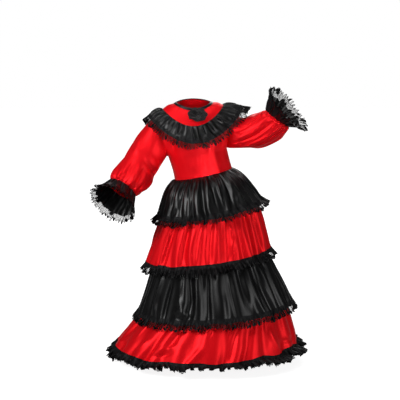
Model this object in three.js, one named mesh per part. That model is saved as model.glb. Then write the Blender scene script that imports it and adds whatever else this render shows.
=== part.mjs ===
// A child's flamenco dress of red and black satin, standing hollow in the pose it is worn in:
// round yoke with a gathered collar and a rosette, fitted bodice, two full sleeves with flounced
// cuffs, and a skirt of four gathered tiers that are edged with lace. Millimetres, +Z up, front
// towards -Y, the wearer's left towards +X. The origin is the middle of the neck opening.
import * as THREE from "three";

// Cloth
const SATIN = 1.5;
const NET = 1.2;
const SEAM = 0.6; // the space left along a seam
const CURVED_SEAM = 1.2; // the same where the wall bends across the seam
const LIFT = 0.6; // the space under a piece that lies on another
const FOLDED_LIFT = 1.2; // the same where both are folded
const FRONT = -1;
const BACK = 1;
const LEFT = 1;
const RIGHT = -1;

// Gathers
const FOLD_STEPS = 44; // two for every fold round the collar and each skirt tier
const LAP = 12; // how far a tier is sewn up inside the one above
const HEADING = 8; // how far a lace heading lies over the satin edge

const RED = { color: 0xd5101b, roughness: 0.36, metalness: 0 };
const BLACK = { color: 0x141416, roughness: 0.34, metalness: 0 };
const LACE = { color: 0x0b0b0d, roughness: 0.75, metalness: 0 };

// Rings round the body: middle x and y, height, half width, half depth, rise towards the
// wearer's left in degrees, turn of the body in degrees, drop at the front, drop at the back.
const ring = (x, y, z, wide, deep, roll = 0, turn = 0, front = 0, back = 0) => {
  return { x, y, z, wide, deep, roll, turn, front, back };
};
const NECK = ring(0, 0, 0, 61, 50, 1, 6, 17, -8);
const YOKE_MIDDLE = ring(-1, 0, -2, 84, 68, 2.5, 6, 43, 30);
const YOKE_EDGE = ring(-2, 0, -13, 103, 82, 3.5, 6, 60, 52);
const CHEST = ring(14, 0, -169, 101, 78, 7.6, 6);
const RIBS = ring(22, 0, -196, 99, 77, 8.8, 6);
const MIDRIFF = ring(29, 0, -221, 98, 76, 10.2, 6);
const WAIST = ring(34, 0, -243, 99, 77, 11.5, 6);

const COLLAR = {
  rings: [
    ring(2, 0, -15, 132, 93, 4, 6, 84, 76),
    ring(7, 0, -28, 160, 99, 5, 6, 97, 91),
    ring(12, 0, -41, 184, 104, 6.2, 6, 109, 104),
  ],
  folds: [0.8, 3.5, 5.5, 6.5],
};

const TIERS = [
  {
    rings: [
      ring(34.3, 0, -245, 101, 79, 11.4, 6),
      ring(42, 0, -279, 134, 115, 10, 5),
      ring(51, 0, -322, 158, 139, 9.7, 4, 2, 2),
      ring(58.6, 0, -362, 178, 157, 9.3, 4, 4, 4),
    ],
    folds: [0.8, 4, 5.5, 7],
    trim: { name: "lace_1", ring: ring(59, 0, -383, 204, 181, 9.3, 4, 7, 7), fold: 8 },
    finish: BLACK,
  },
  {
    rings: [
      ring(55, 0, -399, 173, 152, 8.8, 3),
      ring(53, 0, -465, 195, 172, 7.8, 2),
      ring(51.5, 0, -532, 215, 190, 6.7, 2),
    ],
    folds: [4.5, 6.5, 7],
    trim: { name: "lace_2", ring: ring(52, 0, -559, 235, 208, 6.7, 2), fold: 9 },
    finish: RED,
  },
  {
    rings: [
      ring(62, 0, -562, 205, 181, 6, 2),
      ring(71, 0, -638, 236, 208, 5.2, 1),
      ring(77, 0, -709, 266, 235, 4.3, 1),
    ],
    folds: [5.5, 7.5, 8],
    trim: { name: "lace_3", ring: ring(73, 0, -738, 284, 250, 4.2, 1), fold: 9 },
    finish: BLACK,
  },
  {
    rings: [
      ring(72, 0, -722, 254, 223, 4.2, 1),
      ring(61, 0, -765, 277, 242, 3.2, 0),
      ring(42.5, 0, -850, 318, 272, 1.6, 0, 2, 2),
    ],
    folds: [6.5, 8, 9],
    trim: { name: "hem_frill", ring: ring(46, 0, -878, 341, 287, 1.4, 0, -13, -13), fold: 9 },
    finish: RED,
  },
];

// Sleeves: the shoulder tip, then round sections down the arm: middle, direction, radius, fold.
const ARMHOLE_DEEP = 42;
const SLEEVE_STEPS = 16;
const CUFF_STEPS = 24;
const SLEEVES = [
  {
    name: "right",
    side: RIGHT,
    tip: [-122, -8, -30],
    sections: [
      [[-139, -8, -143], [-0.68, -0.25, -0.7], 62, 1],
      [[-160, -21, -174], [-0.62, -0.36, -0.7], 61, 2.5],
      [[-189, -45, -218], [-0.55, -0.42, -0.72], 62, 3],
      [[-219, -73, -258], [-0.52, -0.47, -0.71], 61, 3.5],
      [[-234, -88, -274], [-0.51, -0.48, -0.71], 54, 3],
      [[-238, -91, -279], [-0.51, -0.48, -0.71], 50, 1.5],
    ],
    flounce: [
      [[-239, -92, -280], [-0.51, -0.48, -0.71], 50, 1.5],
      [[-251, -108, -298], [-0.48, -0.58, -0.66], 60, 3],
      [[-262, -126, -316], [-0.45, -0.68, -0.58], 70, 4.5],
    ],
    rim: [[-273, -141, -328], [-0.44, -0.72, -0.54], 83, 6],
  },
  {
    name: "left",
    side: LEFT,
    tip: [119, 8, -14],
    sections: [
      [[140, 4, -97], [0.97, -0.1, -0.1], 60, 1],
      [[165, -1, -103], [0.99, -0.1, 0.02], 51, 2],
      [[220, -10, -93], [0.96, -0.12, 0.24], 55, 3],
      [[259, -18, -74], [0.8, -0.12, 0.58], 54, 3.5],
      [[281, -24, -56], [0.58, -0.08, 0.81], 50, 3],
      [[285, -25, -50], [0.57, -0.08, 0.82], 48, 1.5],
    ],
    flounce: [
      [[286, -25.2, -48.5], [0.58, -0.08, 0.81], 48, 1.5],
      [[299, -27, -37], [0.64, -0.12, 0.76], 62, 3],
      [[312, -30, -26], [0.7, -0.15, 0.7], 75, 4.5],
    ],
    rim: [[326, -35, -14], [0.73, -0.25, 0.64], 96, 6.5],
  },
];

const ROSETTE = { x: 14, z: -41, wide: 34, high: 28, deep: 17, petals: 9 };

const { PI } = Math;
const half = FOLD_STEPS / 2;
const quarter = FOLD_STEPS / 4;
const model = new THREE.Group();

function addPiece(name, geometry, finish) {
  const mesh = new THREE.Mesh(geometry, new THREE.MeshStandardMaterial(finish));
  mesh.name = name;
  model.add(mesh);
}

// ---- Points on a ring ----------------------------------------------------------------------

// `across` runs from -1 on the wearer's right to 1 on the left, `through` from front to back.
function onRing(r, across, through) {
  const turn = THREE.MathUtils.degToRad(r.turn);
  const lx = r.wide * across;
  const ly = r.deep * through;
  const x = lx * Math.cos(turn) - ly * Math.sin(turn);
  const y = lx * Math.sin(turn) + ly * Math.cos(turn);
  const drop = (through < 0 ? r.front : r.back) * Math.abs(through) ** 2;
  return new THREE.Vector3(r.x + x, r.y + y, r.z + x * Math.tan(THREE.MathUtils.degToRad(r.roll)) - drop);
}

// Every ring of folds uses the same uneven steps, so that the folds run on from piece to piece.
function foldAngle(i) {
  const step = (2 * PI) / FOLD_STEPS;
  const uneven = 0.22 * step * Math.sin((2 * PI * 5 * i) / FOLD_STEPS + 1);
  return i * step + (i % (FOLD_STEPS / 2) === 0 ? 0 : uneven);
}

function foldHeight(i) {
  const share = 0.8 + 0.2 * Math.sin((2 * PI * 7 * i) / FOLD_STEPS);
  return i % 2 === 0 ? -share : share;
}

function ringRow(r) {
  const row = [];
  for (let i = 0; i < FOLD_STEPS; i += 1) {
    row.push(onRing(r, Math.cos(foldAngle(i)), Math.sin(foldAngle(i))));
  }
  return row;
}

// ---- Walls of cloth ------------------------------------------------------------------------
// rows[j][i] are points of the outside: j away from the neck, i anticlockwise seen from above.

function outward(rows, closed, j, i) {
  const count = rows[j].length;
  const wrap = (n) => (closed ? (n + count) % count : THREE.MathUtils.clamp(n, 0, count - 1));
  const down = rows[Math.min(j + 1, rows.length - 1)][i].clone();
  down.sub(rows[Math.max(j - 1, 0)][i]);
  const along = rows[j][wrap(i + 1)].clone().sub(rows[j][wrap(i - 1)]);
  return down.cross(along).normalize();
}

// Moves every point out by distance(j, i).
function movedOut(rows, closed, distance) {
  return rows.map((row, j) =>
    row.map((p, i) => p.clone().addScaledVector(outward(rows, closed, j, i), distance(j, i))),
  );
}

function gathered(rows, folds, height = foldHeight) {
  return movedOut(rows, true, (j, i) => folds[j] * height(i));
}

// The row that lies `distance` above the last one, on the wall between the last two.
function rowAbove(rows, distance) {
  const last = rows[rows.length - 1];
  const before = rows[rows.length - 2];
  return last.map((p, i) => {
    const up = before[i].clone().sub(p);
    return p.clone().addScaledVector(up.normalize(), distance);
  });
}

function wallBetween(outer, inner, closed) {
  const height = outer.length;
  const width = outer[0].length;
  const positions = [...outer.flat(), ...inner.flat()].flatMap((p) => [p.x, p.y, p.z]);
  const index = [];
  const out = (j, i) => j * width + (i % width);
  const into = (j, i) => height * width + out(j, i);
  const quad = (a, b, c, d) => index.push(a, b, c, a, c, d);
  const spans = closed ? width : width - 1;
  const foot = height - 1;
  for (let i = 0; i < spans; i += 1) {
    for (let j = 0; j < foot; j += 1) {
      quad(out(j, i), out(j + 1, i), out(j + 1, i + 1), out(j, i + 1));
      quad(into(j, i), into(j, i + 1), into(j + 1, i + 1), into(j + 1, i));
    }
    quad(out(0, i), out(0, i + 1), into(0, i + 1), into(0, i));
    quad(out(foot, i), into(foot, i), into(foot, i + 1), out(foot, i + 1));
  }
  if (!closed) {
    const end = width - 1;
    for (let j = 0; j < foot; j += 1) {
      quad(out(j, 0), into(j, 0), into(j + 1, 0), out(j + 1, 0));
      quad(out(j, end), out(j + 1, end), into(j + 1, end), into(j, end));
    }
  }
  const geometry = new THREE.BufferGeometry();
  geometry.setAttribute("position", new THREE.Float32BufferAttribute(positions, 3));
  geometry.setIndex(index);
  return geometry;
}

function wall(rows, closed, thickness) {
  return wallBetween(rows, movedOut(rows, closed, () => -thickness), closed);
}

// Columns `from` to `to` of closed rows, with both ends drawn back by half a seam.
function cutOut(rows, from, to) {
  return rows.map((row) => {
    const part = [];
    for (let i = from; i <= to; i += 1) part.push(row[i % row.length].clone());
    const last = part.length - 1;
    const drawBack = (end, next) => {
      const pull = part[next].clone().sub(part[end]).normalize();
      part[end].addScaledVector(pull, SEAM / 2);
    };
    drawBack(0, 1);
    drawBack(last, last - 1);
    return part;
  });
}

function closedCut(rows, from, to, thickness) {
  const inner = movedOut(rows, true, () => -thickness);
  return wallBetween(cutOut(rows, from, to), cutOut(inner, from, to), false);
}

// ---- Yoke, binding and placket -------------------------------------------------------------
const YOKE_STEPS = 16;
function plainRow(r, steps) {
  const row = [];
  for (let i = 0; i < steps; i += 1) {
    const angle = (i / steps) * 2 * PI;
    row.push(onRing(r, Math.cos(angle), Math.sin(angle)));
  }
  return row;
}
const yokeRows = [NECK, YOKE_MIDDLE, YOKE_EDGE].map((r) => plainRow(r, YOKE_STEPS));
addPiece("yoke_back_left", closedCut(yokeRows, 0, YOKE_STEPS / 4, SATIN), RED);
addPiece("yoke_back_right", closedCut(yokeRows, YOKE_STEPS / 4, YOKE_STEPS / 2, SATIN), RED);
addPiece("yoke_front", closedCut(yokeRows, YOKE_STEPS / 2, YOKE_STEPS, SATIN), RED);

// The bias binding stands just above the neck edge and folds down over it.
const BINDING_UP = 3;
const BINDING_DOWN = 5;
const BINDING_LEAN = 0.02; // how far its top leans in over the opening
function bindingRows() {
  const lifted = movedOut(yokeRows, true, () => SATIN + 3 * LIFT);
  const edge = lifted[0];
  const low = edge.map((p, i) => {
    const away = lifted[1][i].clone().sub(p).normalize();
    return p.clone().addScaledVector(away, BINDING_DOWN);
  });
  const high = edge.map((p) => {
    return new THREE.Vector3(p.x * (1 - BINDING_LEAN), p.y * (1 - BINDING_LEAN), p.z + BINDING_UP);
  });
  return [high, edge, low];
}
addPiece("neck_binding", wall(bindingRows(), true, SATIN), BLACK);

// ---- Bodice --------------------------------------------------------------------------------
// Columns from the centre line (0) to the side seam (1); the yoke ends at YOKE_SHARE, and the
// shoulder seam runs on from there to the shoulder tip.
const COLUMNS = [0, 0.15, 0.3, 0.45, 0.6, 0.8, 1];
const YOKE_SHARE = 0.6;
const UPPER_ROWS = [0, 0.2, 0.4, 0.6, 0.8, 1];
const armOf = (side) => SLEEVES.find((sleeve) => sleeve.side === side);

// The pull of the cloth at the top and at the chest: centre, shoulder, armhole edge.
function pulls(u, face) {
  const bow = (4 / 3) * ARMHOLE_DEEP * face;
  const centre = [new THREE.Vector3(0, 4 * face, -32), new THREE.Vector3(0, 5 * face, 32)];
  const shoulder = [new THREE.Vector3(0, 38 * face, -9), new THREE.Vector3(0, 7 * face, 46)];
  const edge = [new THREE.Vector3(0, bow, 0), new THREE.Vector3(0, bow, 0)];
  if (u <= YOKE_SHARE) return centre.map((p, k) => p.clone().lerp(shoulder[k], (u / YOKE_SHARE) ** 1.5));
  return shoulder.map((p, k) => p.clone().lerp(edge[k], (u - YOKE_SHARE) / (1 - YOKE_SHARE)));
}

function curve(from, pullFrom, pullTo, to, s) {
  const r = 1 - s;
  const point = from.clone().multiplyScalar(r ** 3);
  point.addScaledVector(from.clone().add(pullFrom), 3 * r * r * s);
  point.addScaledVector(to.clone().add(pullTo), 3 * r * s * s);
  return point.addScaledVector(to, s ** 3);
}

function bodicePoint(side, face, u, s) {
  const q = (Math.min(u / YOKE_SHARE, 1) * PI) / 2;
  const top = onRing(YOKE_EDGE, side * Math.sin(q), face * Math.cos(q));
  const inner = onRing(YOKE_MIDDLE, side * Math.sin(q), face * Math.cos(q));
  top.addScaledVector(top.clone().sub(inner).normalize(), CURVED_SEAM);
  if (u > YOKE_SHARE) {
    top.lerp(new THREE.Vector3(...armOf(side).tip), (u - YOKE_SHARE) / (1 - YOKE_SHARE));
  }
  const low = onRing(CHEST, side * Math.sin((u * PI) / 2), face * Math.cos((u * PI) / 2));
  return curve(top, ...pulls(u, face), low, s);
}

function bodiceColumn(side, face, u) {
  const column = UPPER_ROWS.map((s) => bodicePoint(side, face, u, s));
  for (const r of [RIBS, MIDRIFF, WAIST]) {
    column.push(onRing(r, side * Math.sin((u * PI) / 2), face * Math.cos((u * PI) / 2)));
  }
  if (u === 1) for (const p of column) p.y += (face * CURVED_SEAM) / 2;
  const seamRow = column[0];
  if (u >= YOKE_SHARE) seamRow.y += face * CURVED_SEAM;
  return column;
}

const asRows = (columns) => columns[0].map((_, j) => columns.map((column) => column[j].clone()));
const halfPanel = (side, face) => COLUMNS.map((u) => bodiceColumn(side, face, u));
const frontColumns = [...halfPanel(RIGHT, FRONT).reverse(), ...halfPanel(LEFT, FRONT).slice(1)];
addPiece("bodice_front", wall(asRows(frontColumns), false, SATIN), RED);

function backPanel(side) {
  const rows = asRows(halfPanel(side, BACK));
  for (const row of rows) row[0].x += (side * SEAM) / 2;
  if (side === LEFT) for (const row of rows) row.reverse();
  return rows;
}
addPiece("bodice_back_left", wall(backPanel(LEFT), false, SATIN), RED);
addPiece("bodice_back_right", wall(backPanel(RIGHT), false, SATIN), RED);

// The placket is a strip behind the centre back edges that carries the hook-and-loop tape.
const PLACKET_SHARE = 0.09; // half of its width, as a share of a quarter of the body
const PLACKET_BEHIND = SATIN + LIFT + 2; // the curve of the back leaves it 2 mm further in
function placketRows() {
  const column = (side, u) => {
    const q = ((u / YOKE_SHARE) * PI) / 2;
    const yoke = [NECK, YOKE_MIDDLE].map((r) => onRing(r, side * Math.sin(q), Math.cos(q)));
    const upper = UPPER_ROWS.map((s) => bodicePoint(side, BACK, u, s));
    const lower = [RIBS, MIDRIFF].map((r) =>
      onRing(r, side * Math.sin((u * PI) / 2), Math.cos((u * PI) / 2)),
    );
    return [...yoke, ...upper, ...lower];
  };
  const rows = asRows([column(LEFT, PLACKET_SHARE), column(LEFT, 0), column(RIGHT, PLACKET_SHARE)]);
  return movedOut(rows, false, () => -PLACKET_BEHIND);
}
addPiece("back_placket", wall(placketRows(), false, SATIN), RED);

// ---- Collar --------------------------------------------------------------------------------
// A gathered satin flounce sewn to the edge of the yoke, with lace under its free edge. It is
// open at the centre back.
function collarRows() {
  const yoke = [NECK, YOKE_MIDDLE, YOKE_EDGE].map(ringRow);
  const seam = movedOut(yoke, true, () => SATIN + LIFT + FOLDED_LIFT)[2];
  return gathered([seam, ...COLLAR.rings.map(ringRow)], COLLAR.folds);
}
const collar = collarRows();
const openAtBack = (rows) => rows.map((row) => [...row.slice(quarter), ...row.slice(0, quarter + 1)]);
function openWall(rows, thickness) {
  const inner = movedOut(rows, true, () => -thickness);
  const cut = (all) => cutOut(openAtBack(all), 0, FOLD_STEPS);
  return wallBetween(cut(rows), cut(inner), false);
}
const collarSatin = collar.slice(0, 3);
addPiece("collar_flounce", openWall(collarSatin, SATIN), BLACK);

// Lace lies on the outside of a satin edge by its heading, then flares to its own rim.
function laceRows(satin, rim) {
  const over = movedOut(satin, true, () => NET + FOLDED_LIFT);
  return [rowAbove(over, HEADING), over[over.length - 1], rim];
}
addPiece("collar_lace", openWall(laceRows(collarSatin, collar[3]), NET), LACE);

// ---- Rosette -------------------------------------------------------------------------------
// Layers of gathered petals on the front of the yoke, just below the neck binding.
const ROSETTE_LAYERS = [
  [0.2, 0.8],
  [0.42, 1],
  [0.55, 0.66],
  [0.8, 0.78],
  [0.86, 0.4],
  [1, 0.42],
  [0.8, 0],
];
const ROSETTE_FACES = new THREE.Vector3(0.1, -0.84, 0.53).normalize();
const ROSETTE_PROUD = 6.6; // how far the middle of its underside stands off the yoke
const PETAL_DIP = 0.86; // how far the edge draws in between two petals
const PETAL_LOW = 0.88; // how far it lies lower there

function rosetteGeometry() {
  const steps = ROSETTE.petals * 2;
  const face = ROSETTE_FACES;
  const up = new THREE.Vector3(0, 0, 1).addScaledVector(face, -face.z).normalize();
  const right = up.clone().cross(face);
  const neck = onRing(NECK, 0, FRONT);
  const edge = onRing(YOKE_EDGE, 0, FRONT);
  const share = (ROSETTE.z - neck.z) / (edge.z - neck.z);
  const middle = new THREE.Vector3(ROSETTE.x, THREE.MathUtils.lerp(neck.y, edge.y, share), ROSETTE.z);
  middle.addScaledVector(face, ROSETTE_PROUD);
  const positions = [];
  ROSETTE_LAYERS.forEach(([reach, proud], layer) => {
    for (let i = 0; i < steps; i += 1) {
      const angle = ((i + (layer % 2)) / steps) * 2 * PI;
      const petal = reach * (i % 2 === 0 ? 1 : PETAL_DIP);
      const p = middle.clone();
      p.addScaledVector(right, ROSETTE.wide * petal * Math.cos(angle));
      p.addScaledVector(up, ROSETTE.high * petal * Math.sin(angle));
      p.addScaledVector(face, ROSETTE.deep * proud * (i % 2 === 0 ? 1 : PETAL_LOW));
      positions.push(p.x, p.y, p.z);
    }
  });
  const tips = [middle.clone().addScaledVector(face, ROSETTE.deep * 0.6), middle];
  for (const p of tips) positions.push(p.x, p.y, p.z);
  const index = [];
  const at = (j, i) => j * steps + (i % steps);
  const foot = ROSETTE_LAYERS.length - 1;
  const crown = (foot + 1) * steps;
  for (let i = 0; i < steps; i += 1) {
    index.push(crown, at(0, i), at(0, i + 1));
    index.push(crown + 1, at(foot, i + 1), at(foot, i));
    for (let j = 0; j < foot; j += 1) {
      index.push(at(j, i), at(j + 1, i), at(j + 1, i + 1));
      index.push(at(j, i), at(j + 1, i + 1), at(j, i + 1));
    }
  }
  const geometry = new THREE.BufferGeometry();
  geometry.setAttribute("position", new THREE.Float32BufferAttribute(positions, 3));
  geometry.setIndex(index);
  return geometry;
}
addPiece("rosette", rosetteGeometry(), BLACK);

// ---- Sleeves and cuffs ---------------------------------------------------------------------
function sectionRow([middle, direction, radius, fold], steps) {
  const axis = new THREE.Vector3(...direction).normalize();
  const up = new THREE.Vector3(0, 0, 1).addScaledVector(axis, -axis.z).normalize();
  const beside = up.clone().cross(axis);
  const row = [];
  for (let i = 0; i < steps; i += 1) {
    const angle = (i / steps) * 2 * PI;
    const wave = fold * (i % 2 === 0 ? -1 : 1) * (0.8 + 0.2 * Math.sin(3 * angle));
    const p = new THREE.Vector3(...middle);
    p.addScaledVector(up, (radius + wave) * Math.cos(angle));
    p.addScaledVector(beside, (radius + wave) * Math.sin(angle));
    row.push(p);
  }
  return row;
}

// The sleeve head follows the armhole edge of the bodice, a seam's width further out.
function headRow(side) {
  const row = [];
  for (let i = 0; i < SLEEVE_STEPS; i += 1) {
    const share = (2 * i) / SLEEVE_STEPS;
    const face = side * (share <= 1 ? 1 : -1);
    const p = bodicePoint(side, face, 1, share <= 1 ? share : 2 - share);
    row.push(p.add(new THREE.Vector3(side * (SATIN + SEAM), 0, 0)));
  }
  return row;
}

for (const { name, side, sections, flounce, rim } of SLEEVES) {
  const rows = [headRow(side), ...sections.map((section) => sectionRow(section, SLEEVE_STEPS))];
  addPiece(`sleeve_${name}`, wall(rows, true, SATIN), RED);
  const flounceRows = flounce.map((section) => sectionRow(section, CUFF_STEPS));
  addPiece(`cuff_flounce_${name}`, wall(flounceRows, true, SATIN), BLACK);
  const lace = laceRows(flounceRows, sectionRow(rim, CUFF_STEPS));
  addPiece(`cuff_lace_${name}`, wall(lace, true, NET), LACE);
}

// ---- Skirt ---------------------------------------------------------------------------------
// Each tier is a front strip and a back strip, gathered to its top edge. The first is sewn to
// the bodice. The others are sewn up inside the tier above, a little over its hem.
let above = null;
TIERS.forEach(({ rings, folds, trim, finish }, k) => {
  const rows = gathered(rings.map(ringRow), folds);
  if (above) rows.unshift(rowAbove(movedOut(above, true, () => -(SATIN + FOLDED_LIFT)), LAP));
  addPiece(`tier_${k + 1}_front`, closedCut(rows, half, FOLD_STEPS, SATIN), finish);
  addPiece(`tier_${k + 1}_back`, closedCut(rows, 0, half, SATIN), finish);
  const rim = gathered([ringRow(rings[rings.length - 1]), ringRow(trim.ring)], [0, trim.fold])[1];
  addPiece(trim.name, wall(laceRows(rows, rim), true, NET), LACE);
  above = rows;
});

export default model;
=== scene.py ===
import bpy, math
import numpy as np
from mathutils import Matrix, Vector


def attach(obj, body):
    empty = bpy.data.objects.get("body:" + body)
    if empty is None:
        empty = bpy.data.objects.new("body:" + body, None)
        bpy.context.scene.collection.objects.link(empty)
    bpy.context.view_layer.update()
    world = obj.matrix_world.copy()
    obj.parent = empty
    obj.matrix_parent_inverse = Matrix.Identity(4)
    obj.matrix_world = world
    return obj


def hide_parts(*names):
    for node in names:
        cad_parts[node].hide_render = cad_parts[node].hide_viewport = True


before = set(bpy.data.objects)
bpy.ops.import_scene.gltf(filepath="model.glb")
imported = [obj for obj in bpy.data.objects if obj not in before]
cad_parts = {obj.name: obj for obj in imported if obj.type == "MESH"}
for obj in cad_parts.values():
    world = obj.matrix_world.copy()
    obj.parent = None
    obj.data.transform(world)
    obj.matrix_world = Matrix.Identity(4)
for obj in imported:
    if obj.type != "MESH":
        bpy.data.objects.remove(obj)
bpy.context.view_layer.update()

# ---- Yoke ------------------------------------------------------------------------------------
# A round yoke of red satin: one front and two backs, joined over the shoulders and open down the
# centre back. Everything is laid out on rings round the body, in millimetres, with the middle of
# the neck opening as origin and the wearer's left towards +X.

SATIN_THICK = 0.6


def ring(x, y, z, wide, deep, roll=0, turn=0, front=0, back=0):
    """Middle, half width and depth, rise to the left and turn in degrees, drops at front and back."""
    return np.array([x, y, z, wide, deep, roll, turn, front, back], float)


def on_ring(r, across, through):
    """Points on a ring; across runs from the right (-1) to the left (1), through from front to back."""
    x0, y0, z0, wide, deep, roll, turn, front, back = [r[..., k] for k in range(9)]
    turn, roll = np.radians(turn), np.radians(roll)
    lx, ly = wide * across, deep * through
    x = lx * np.cos(turn) - ly * np.sin(turn)
    y = lx * np.sin(turn) + ly * np.cos(turn)
    drop = np.where(through < 0, front, back) * through ** 2
    return np.stack([x0 + x, y0 + y, z0 + x * np.tan(roll) - drop], -1)


def smooth(table, at, knots=None):
    """A smooth curve through the rows of a table, at places from 0 to 1."""
    table = np.asarray(table, float)
    n = len(table)
    knots = np.linspace(0, 1, n) if knots is None else np.asarray(knots, float)
    shape = (-1, *[1] * (table.ndim - 1))
    slope = np.empty_like(table)
    slope[1:-1] = (table[2:] - table[:-2]) / (knots[2:] - knots[:-2]).reshape(shape)
    slope[0] = (table[1] - table[0]) / (knots[1] - knots[0])
    slope[-1] = (table[-1] - table[-2]) / (knots[-1] - knots[-2])
    at = np.clip(np.asarray(at, float), 0, 1)
    k = np.clip(np.searchsorted(knots, at, side="right") - 1, 0, n - 2)
    span = knots[k + 1] - knots[k]
    t = (at - knots[k]) / span
    t, span = t.reshape(shape), span.reshape(shape)
    t2, t3 = t * t, t * t * t
    return ((2 * t3 - 3 * t2 + 1) * table[k] + (t3 - 2 * t2 + t) * span * slope[k]
            + (3 * t2 - 2 * t3) * table[k + 1] + (t3 - t2) * span * slope[k + 1])


def distances(rings):
    """Places of rings along a profile, from 0 to 1, by the length of cloth between them."""
    p = on_ring(np.array(rings), 0.7, 0.7)
    d = np.r_[0, np.cumsum(np.linalg.norm(np.diff(p, axis=0), axis=1))]
    return d / d[-1]


def ring_grid(rings, rows, angles):
    """Rows of points down a profile of rings, at the given angles round it."""
    at = np.linspace(0, 1, rows)
    r = smooth(rings, at, distances(rings))
    return on_ring(r[:, None, :], np.cos(angles)[None], np.sin(angles)[None])


def normals(grid, closed):
    """The outward direction at each point of rows that run down and anticlockwise."""
    down = np.gradient(grid, axis=0)
    if closed:
        along = np.roll(grid, -1, 1) - np.roll(grid, 1, 1)
    else:
        along = np.gradient(grid, axis=1)
    n = np.cross(down, along)
    return n / np.maximum(np.linalg.norm(n, axis=-1, keepdims=True), 1e-9)


def pushed(grid, closed, height):
    """The grid moved outwards by a height at each point, in millimetres."""
    return grid + normals(grid, closed) * np.asarray(height)[..., None]


def path_length(points):
    return float(np.linalg.norm(np.diff(points, axis=0), axis=1).sum())


def lengths(grid):
    """Lengths of the middle row and the middle column, in millimetres."""
    return path_length(grid[len(grid) // 2]), path_length(grid[:, grid.shape[1] // 2])


def fold_field(grid, closed):
    """Flat places over a grid, across and down in millimetres, and its girth if it is closed."""
    wide, long = lengths(grid)
    across, down = np.meshgrid(np.linspace(0, wide, grid.shape[1], endpoint=not closed),
                               np.linspace(0, long, grid.shape[0]))
    return across, down, (wide if closed else None)


def crease(height, field, start, end, width, depth, bend=0.0, fade=0.35):
    """Adds one soft fold (depth above 0) or trough (below 0) along a bent line on flat cloth."""
    across, down, period = field
    ax, ay = start
    dx, dy = end[0] - ax, end[1] - ay
    length = math.hypot(dx, dy)
    px = across - ax
    if period:
        middle = dx / 2
        px = (px - middle + period / 2) % period - period / 2 + middle
    py = down - ay
    t = (px * dx + py * dy) / length ** 2
    side = (py * dx - px * dy) / length - bend * 4 * np.clip(t, 0, 1) * (1 - np.clip(t, 0, 1))
    ends = np.clip(np.minimum(t / fade, (1 - t) / fade), 0, 1)
    ends = ends * ends * (3 - 2 * ends)
    height += depth * np.exp(-((side / width) ** 2)) * ends


def shell(grid, closed, thick):
    """Points, four-sided faces, flat places of the faces' corners, and rim lines of a thin shell."""
    rows, columns = grid.shape[:2]
    half = rows * columns
    inner = grid - normals(grid, closed) * thick
    points = np.concatenate([grid.reshape(-1, 3), inner.reshape(-1, 3)]) / 1000
    spans = columns if closed else columns - 1
    wide, long = [v / 1000 for v in lengths(grid)]

    def place(column, row):
        column, row = np.broadcast_arrays(column, row)
        return np.stack([column / spans * wide, (1 - row / (rows - 1)) * long], 1)

    j, i = np.meshgrid(np.arange(rows - 1), np.arange(spans), indexing="ij")
    j, i = j.ravel(), i.ravel()
    i1 = (i + 1) % columns
    a, b, c, d = j * columns + i, (j + 1) * columns + i, (j + 1) * columns + i1, j * columns + i1
    faces = [np.stack([a, b, c, d], 1), np.stack([a, d, c, b], 1) + half]
    flat = [np.stack([place(i, j), place(i, j + 1), place(i + 1, j + 1), place(i + 1, j)], 1),
            np.stack([place(i, j), place(i + 1, j), place(i + 1, j + 1), place(i, j + 1)], 1)]

    k = np.arange(spans)
    k1 = (k + 1) % columns
    last = rows - 1
    foot = last * columns
    faces += [np.stack([k, k1, k1 + half, k + half], 1),
              np.stack([foot + k, foot + k + half, foot + k1 + half, foot + k1], 1)]
    flat += [np.stack([place(k, 0), place(k + 1, 0), place(k + 1, 0), place(k, 0)], 1),
             np.stack([place(k, last), place(k, last), place(k + 1, last), place(k + 1, last)], 1)]
    lines = [np.stack([k, k1], 1), np.stack([foot + k, foot + k1], 1)]
    if not closed:
        r = np.arange(rows - 1)
        m = r * columns
        e = columns - 1
        faces += [np.stack([m, m + half, m + columns + half, m + columns], 1),
                  np.stack([m + e, m + columns + e, m + columns + e + half, m + e + half], 1)]
        flat += [np.stack([place(0, r), place(0, r), place(0, r + 1), place(0, r + 1)], 1),
                 np.stack([place(e, r), place(e, r + 1), place(e, r + 1), place(e, r)], 1)]
        lines += [np.stack([m, m + columns], 1), np.stack([m + e, m + e + columns], 1)]
    lines = np.concatenate(lines)
    return points, np.concatenate(faces), np.concatenate(flat), np.concatenate([lines, lines + half])


def line_keys(lines, points):
    """One number for each line, whichever way round its two ends are given."""
    return lines.min(1).astype(np.int64) * len(points) + lines.max(1)


def cloth(name, grid, closed, thick, material):
    """A thin shell of cloth with its outside on the grid's points, and a flat map in metres."""
    points, faces, places, rim_lines = shell(grid, closed, thick)
    mesh = bpy.data.meshes.new(name)
    mesh.vertices.add(len(points))
    mesh.vertices.foreach_set("co", points.astype(np.float32).ravel())
    mesh.loops.add(faces.size)
    mesh.loops.foreach_set("vertex_index", faces.astype(np.int32).ravel())
    mesh.polygons.add(len(faces))
    mesh.polygons.foreach_set("loop_start", np.arange(0, faces.size, 4, dtype=np.int32))
    mesh.update(calc_edges=True)
    layer = mesh.uv_layers.new(name="UVMap")
    layer.data.foreach_set("uv", places.astype(np.float32).ravel())
    mesh.polygons.foreach_set("use_smooth", np.ones(len(faces), bool))
    edges = np.empty(len(mesh.edges) * 2, np.int32)
    mesh.edges.foreach_get("vertices", edges)
    sharp = np.isin(line_keys(edges.reshape(-1, 2), points), line_keys(rim_lines, points))
    mesh.attributes.new("sharp_edge", "BOOLEAN", "EDGE").data.foreach_set("value", sharp)
    mesh.validate()
    obj = bpy.data.objects.new(name, mesh)
    bpy.context.scene.collection.objects.link(obj)
    obj.data.materials.append(material)
    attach(obj, "root")
    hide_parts(name)


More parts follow.
